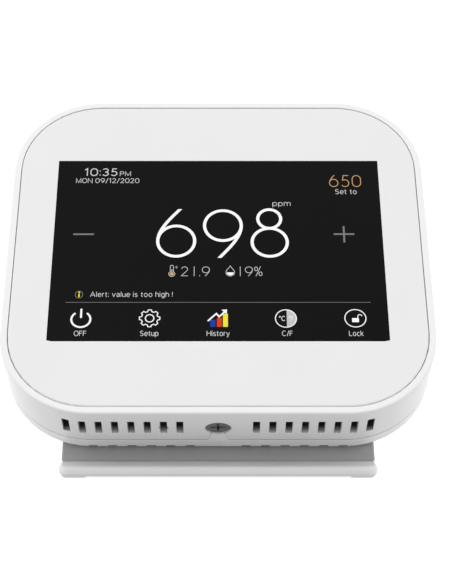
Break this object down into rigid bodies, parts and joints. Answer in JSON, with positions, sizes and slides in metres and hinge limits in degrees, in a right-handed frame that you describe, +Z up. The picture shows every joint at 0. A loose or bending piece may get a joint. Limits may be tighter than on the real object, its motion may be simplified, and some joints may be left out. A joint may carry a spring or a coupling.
{
  "type": "air quality monitor",
  "caption": "Desk-top room air quality monitor: a colour touch screen in a rounded white case that leans back on a low folding stand.",
  "frame": {"origin": "on the desk surface, under the middle of the whole outline", "axes": "+Z up, +X to the reader's right, the screen faces -Y and leans back"},
  "size_m": [0.1072, 0.0712, 0.0925],
  "materials": {
    "front_panel": "fine satin moulded plastic, soft white",
    "housing": "fine satin moulded plastic, soft white",
    "back_cover": "fine satin moulded plastic, soft white",
    "stand": "fine satin moulded plastic, soft white",
    "feet": "light grey silicone",
    "cover_glass": "black-masked glass, polished",
    "adhesive_film": "clear adhesive",
    "foam": "black closed-cell foam",
    "display_cell": "laminated glass",
    "light_guide": "clear acrylic with white reflector",
    "tray_steel": "bare folded sheet",
    "ribbon": "amber polyimide",
    "connector_plastic": "black moulded",
    "board": "green solder mask",
    "screw_steel": "zinc-plated, grey",
    "brass": "knurled brass",
    "chip_plastic": "black epoxy",
    "sensor_gold": "gold-plated chamber",
    "sensor_filter": "white membrane",
    "ceramic": "ferrite grey",
    "capacitor_can": "drawn aluminium",
    "coin_steel": "nickel-plated steel",
    "socket_steel": "nickel-plated steel",
    "hinge_steel": "ground steel"
  },
  "bodies": {
    "stand": {"stand_base": "stand", "front_feet": "feet", "rear_feet": "feet", "hinge_pins": "hinge_steel", "hinge_washers": "hinge_steel"},
    "head": {"front_panel": "front_panel", "touch_glass": "cover_glass", "bonding_film": "adhesive_film", "display_gasket": "foam", "display_cell": "display_cell", "backlight": "light_guide", "display_tray": "tray_steel", "display_ribbon": "ribbon", "ribbon_connector": "connector_plastic", "housing": "housing", "back_cover": "back_cover", "case_screw": "screw_steel", "case_insert": "brass", "main_board": "board", "board_screws": "screw_steel", "reset_switch": "chip_plastic", "humidity_sensor": "ceramic", "processor": "chip_plastic", "memory_chip": "chip_plastic", "power_inductor": "ceramic", "capacitors": "capacitor_can", "buzzer": "chip_plastic", "usb_socket": "socket_steel", "usb_tongue": "connector_plastic", "stand_screws": "screw_steel", "stand_inserts": "brass", "co2_sensor_board": "board", "co2_sensor_chamber": "sensor_gold", "co2_sensor_filter": "sensor_filter", "co2_sensor_headers": "connector_plastic", "battery_holder": "connector_plastic", "clock_battery": "coin_steel", "battery_strap": "coin_steel", "stand_plate": "stand"},
    "reset_plunger": {"reset_button": "connector_plastic"}
  },
  "joints": [
    {"name": "stand_fold", "type": "hinge", "parent": "stand", "child": "head", "pos_m": [0, -0.01258, 0.00655], "axis": [-1, 0, 0], "range_deg": [0, 53]},
    {"name": "reset_press", "type": "slide", "parent": "head", "child": "reset_plunger", "axis": [0, 0.6018, 0.7986], "range_m": [0, 0.0003], "stiffness_N_per_m": 1500}
  ]
}
